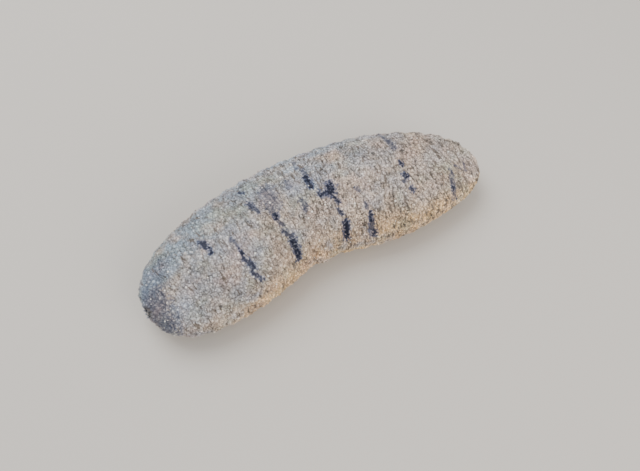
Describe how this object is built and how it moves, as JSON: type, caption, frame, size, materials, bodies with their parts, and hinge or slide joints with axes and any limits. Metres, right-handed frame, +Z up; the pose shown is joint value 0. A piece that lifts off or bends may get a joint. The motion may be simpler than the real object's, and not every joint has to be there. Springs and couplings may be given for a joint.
{
  "type": "sandfish sea cucumber model",
  "caption": "Life-size still sandfish sea cucumber, a bent loaf-shaped body with a warty back and flanks, a flat sole with tube feet, and a mouth under its front end.",
  "frame": {"origin": "on the floor, under the middle of the whole model", "axes": "+X from the tail towards the mouth end, +Y to the animal's left, +Z up from the floor"},
  "size_m": [0.2052, 0.0752, 0.0442],
  "materials": {
    "skin": "moist, granular, grey and tan",
    "tentacle_skin": "moist and smooth"
  },
  "bodies": {
    "root": {"anal_end": "skin", "trunk_rear": "skin", "trunk_middle": "skin", "trunk_front": "skin", "mouth_end": "skin", "oral_tentacles": "tentacle_skin"}
  },
  "joints": []
}
